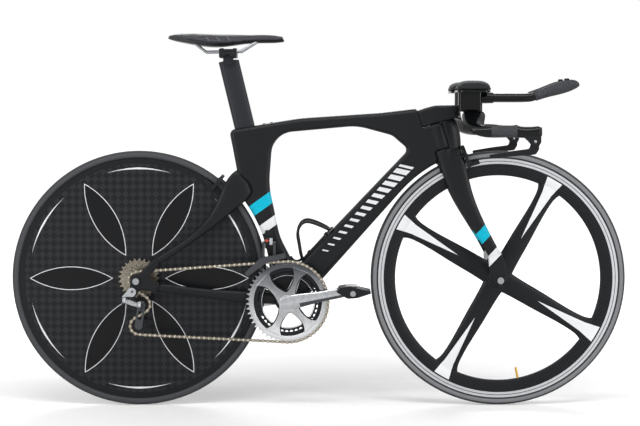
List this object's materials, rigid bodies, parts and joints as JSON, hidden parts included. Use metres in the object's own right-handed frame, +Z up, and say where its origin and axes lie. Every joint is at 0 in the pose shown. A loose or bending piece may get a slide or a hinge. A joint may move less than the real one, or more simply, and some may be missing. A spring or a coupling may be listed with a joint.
{
  "type": "time trial bike",
  "caption": "Time trial bicycle with an aero frame, solid disc rear wheel, bladed front wheel and clip-on aero bars; steering, wheels, cranks, brakes and gears move.",
  "frame": {"origin": "on the ground under the middle of the wheelbase, in the plane of the wheels", "axes": "+X forward to the front wheel, +Y to the rider's left, +Z up"},
  "size_m": [1.608, 0.405, 0.9753],
  "materials": {
    "satin_carbon": "satin clear coat over carbon",
    "moulded_carbon": "matt moulded carbon",
    "wheel_carbon": "gloss carbon weave",
    "black_alloy": "black anodised",
    "polished_alloy": "polished",
    "steel": "machined",
    "chain_steel": "nickel plated",
    "moulded_plastic": "moulded",
    "tyre_rubber": "smooth tread",
    "saddle_leather": "matt leather",
    "pad_fabric": "foam with a knitted cover",
    "valve_brass": "bright"
  },
  "bodies": {
    "frame": {"front_triangle": "satin_carbon", "chainstays": "satin_carbon", "seatstays": "satin_carbon", "dropouts": "black_alloy", "frame_bearings": "steel", "bottle_cage": "moulded_carbon", "frame_bolts": "steel", "front_derailleur_body": "black_alloy", "rear_axle": "steel", "rear_derailleur_knuckle": "polished_alloy", "chain": "chain_steel"},
    "seatpost": {"seatpost": "satin_carbon"},
    "saddle": {"saddle_clamp": "black_alloy", "saddle_rails": "steel", "saddle_base": "moulded_carbon", "saddle_cover": "saddle_leather"},
    "steering": {"fork": "satin_carbon", "stem": "satin_carbon", "base_bar": "satin_carbon", "arm_rests": "moulded_carbon", "arm_pads": "pad_fabric", "extensions": "moulded_carbon", "shifter_pods": "moulded_plastic", "lever_brackets": "black_alloy", "front_axle": "steel"},
    "front_wheel": {"front_tyre": "tyre_rubber", "front_brake_track": "polished_alloy", "front_wheel_shell": "wheel_carbon", "front_hub_bearings": "steel", "front_valve": "valve_brass"},
    "rear_wheel": {"rear_tyre": "tyre_rubber", "rear_disc": "wheel_carbon", "rear_hub_shell": "black_alloy", "rear_hub_bearings": "steel"},
    "cassette": {"cassette_cogs": "chain_steel", "freehub_body": "polished_alloy"},
    "crankset": {"right_crank_arm": "polished_alloy", "left_crank_arm": "polished_alloy", "big_chainring": "polished_alloy", "small_chainring": "black_alloy", "chainring_bolts": "steel", "pedal_spindles": "steel"},
    "right_shift_button": {"right_shift_button": "moulded_plastic"},
    "left_shift_button": {"left_shift_button": "moulded_plastic"},
    "right_brake_lever": {"right_brake_lever": "black_alloy"},
    "left_brake_lever": {"left_brake_lever": "black_alloy"},
    "front_brake_right_arm": {"front_brake_right_arm": "black_alloy"},
    "front_brake_left_arm": {"front_brake_left_arm": "black_alloy"},
    "rear_brake_right_arm": {"rear_brake_right_arm": "black_alloy"},
    "rear_brake_left_arm": {"rear_brake_left_arm": "black_alloy"},
    "right_pedal": {"right_pedal": "moulded_plastic"},
    "left_pedal": {"left_pedal": "moulded_plastic"},
    "rear_derailleur_link": {"rear_derailleur_link": "polished_alloy"},
    "rear_derailleur_lower_knuckle": {"rear_derailleur_lower_knuckle": "polished_alloy"},
    "rear_derailleur_cage": {"rear_derailleur_cage": "black_alloy"},
    "guide_pulley": {"guide_pulley": "moulded_plastic"},
    "tension_pulley": {"tension_pulley": "moulded_plastic"},
    "front_derailleur_cage": {"front_derailleur_cage": "polished_alloy"},
    "front_quick_release": {"front_quick_release": "polished_alloy"},
    "rear_quick_release": {"rear_quick_release": "polished_alloy"}
  },
  "joints": [
    {"name": "steering_turn", "type": "hinge", "parent": "frame", "child": "steering", "pos_m": [0.32503, 0, 0.67136], "axis": [-0.2924, 0, 0.9563], "range_deg": [-38, 38]},
    {"name": "front_wheel_spin", "type": "hinge", "parent": "steering", "child": "front_wheel", "pos_m": [0.47, 0, 0.334], "axis": [0, 1, 0], "continuous": true},
    {"name": "rear_wheel_spin", "type": "hinge", "parent": "frame", "child": "rear_wheel", "pos_m": [-0.47, 0, 0.334], "axis": [0, 1, 0], "continuous": true},
    {"name": "crank_spin", "type": "hinge", "parent": "frame", "child": "crankset", "pos_m": [-0.08, 0, 0.277], "axis": [0, 1, 0], "continuous": true, "deforming": ["chain"]},
    {"name": "cassette_spin", "type": "hinge", "parent": "frame", "child": "cassette", "pos_m": [-0.47, 0, 0.334], "axis": [0, 1, 0], "continuous": true, "deforming": ["chain"]},
    {"name": "right_pedal_spin", "type": "hinge", "parent": "crankset", "child": "right_pedal", "pos_m": [0.08688, 0, 0.30944], "axis": [0, 1, 0], "continuous": true},
    {"name": "left_pedal_spin", "type": "hinge", "parent": "crankset", "child": "left_pedal", "pos_m": [-0.24688, 0, 0.24456], "axis": [0, 1, 0], "continuous": true},
    {"name": "seatpost_height", "type": "slide", "parent": "frame", "child": "seatpost", "axis": [-0.2351, 0, 0.972], "range_m": [-0.03, 0.015]},
    {"name": "saddle_tilt", "type": "hinge", "parent": "seatpost", "child": "saddle", "pos_m": [-0.23609, 0, 0.90498], "axis": [0, 1, 0], "range_deg": [-8, 8]},
    {"name": "right_brake_lever_pull", "type": "hinge", "parent": "steering", "child": "right_brake_lever", "pos_m": [0.53767, -0.19, 0.69607], "axis": [0, 1, 0], "range_deg": [0, 18], "stiffness_Nm_per_rad": 2, "springref_deg": -5.73},
    {"name": "left_brake_lever_pull", "type": "hinge", "parent": "steering", "child": "left_brake_lever", "pos_m": [0.53767, 0.19, 0.69607], "axis": [0, 1, 0], "range_deg": [0, 18], "stiffness_Nm_per_rad": 2, "springref_deg": -5.73},
    {"name": "front_brake_right_pivot", "type": "hinge", "parent": "steering", "child": "front_brake_right_arm", "pos_m": [0.37904, -0.025, 0.65545], "axis": [0.9563, 0, 0.2924], "range_deg": [0, 2]},
    {"name": "front_brake_left_pivot", "type": "hinge", "parent": "steering", "child": "front_brake_left_arm", "pos_m": [0.37904, 0.025, 0.65545], "axis": [-0.9563, 0, -0.2924], "range_deg": [0, 2]},
    {"name": "rear_brake_right_pivot", "type": "hinge", "parent": "frame", "child": "rear_brake_right_arm", "pos_m": [-0.25531, -0.025, 0.58986], "axis": [0.766, 0, -0.6428], "range_deg": [0, 2]},
    {"name": "rear_brake_left_pivot", "type": "hinge", "parent": "frame", "child": "rear_brake_left_arm", "pos_m": [-0.25531, 0.025, 0.58986], "axis": [-0.766, 0, 0.6428], "range_deg": [0, 2]},
    {"name": "right_shift_button_press", "type": "slide", "parent": "steering", "child": "right_shift_button", "axis": [0, 0, -1], "range_m": [0, 0.0015], "stiffness_N_per_m": 600, "springref_m": -0.0005},
    {"name": "left_shift_button_press", "type": "slide", "parent": "steering", "child": "left_shift_button", "axis": [0, 0, -1], "range_m": [0, 0.0015], "stiffness_N_per_m": 600, "springref_m": -0.0005},
    {"name": "front_quick_release_turn", "type": "hinge", "parent": "steering", "child": "front_quick_release", "pos_m": [0.47, 0.066, 0.334], "axis": [-1, 0, 0], "range_deg": [0, 150]},
    {"name": "rear_quick_release_turn", "type": "hinge", "parent": "frame", "child": "rear_quick_release", "pos_m": [-0.47, 0.082, 0.334], "axis": [-1, 0, 0], "range_deg": [0, 150]},
    {"name": "derailleur_link_swing", "type": "hinge", "parent": "frame", "child": "rear_derailleur_link", "pos_m": [-0.5, -0.08, 0.284], "axis": [0, 0.5, 0.866], "range_deg": [0, 57], "stiffness_Nm_per_rad": 0.6, "springref_deg": -22.92, "deforming": ["chain"]},
    {"name": "derailleur_knuckle_swing", "type": "hinge", "parent": "rear_derailleur_link", "child": "rear_derailleur_lower_knuckle", "pos_m": [-0.458, -0.106, 0.276], "axis": [0, 0.5, 0.866], "range_deg": [-57, 0], "deforming": ["chain"]},
    {"name": "derailleur_cage_swing", "type": "hinge", "parent": "rear_derailleur_lower_knuckle", "child": "rear_derailleur_cage", "pos_m": [-0.458, -0.058, 0.272], "axis": [0, 1, 0], "range_deg": [-20, 30], "stiffness_Nm_per_rad": 0.8, "deforming": ["chain"]},
    {"name": "guide_pulley_spin", "type": "hinge", "parent": "rear_derailleur_cage", "child": "guide_pulley", "pos_m": [-0.458, -0.058, 0.272], "axis": [0, 1, 0], "continuous": true, "deforming": ["chain"]},
    {"name": "tension_pulley_spin", "type": "hinge", "parent": "rear_derailleur_cage", "child": "tension_pulley", "pos_m": [-0.46547, -0.058, 0.2165], "axis": [0, 1, 0], "continuous": true, "deforming": ["chain"]},
    {"name": "front_derailleur_swing", "type": "hinge", "parent": "frame", "child": "front_derailleur_cage", "pos_m": [-0.129, -0.038, 0.429], "axis": [1, 0, 0], "range_deg": [0, 9], "deforming": ["chain"]}
  ],
  "couplings": [
    {"joint": "cassette_spin", "follows": "crank_spin", "ratio": 4.7273},
    {"joint": "guide_pulley_spin", "follows": "crank_spin", "ratio": -4.7273},
    {"joint": "tension_pulley_spin", "follows": "crank_spin", "ratio": 4.7273},
    {"joint": "front_brake_right_pivot", "follows": "left_brake_lever_pull", "ratio": 0.111},
    {"joint": "front_brake_left_pivot", "follows": "left_brake_lever_pull", "ratio": 0.111},
    {"joint": "rear_brake_right_pivot", "follows": "right_brake_lever_pull", "ratio": 0.111},
    {"joint": "rear_brake_left_pivot", "follows": "right_brake_lever_pull", "ratio": 0.111},
    {"joint": "derailleur_knuckle_swing", "follows": "derailleur_link_swing", "ratio": -1}
  ]
}
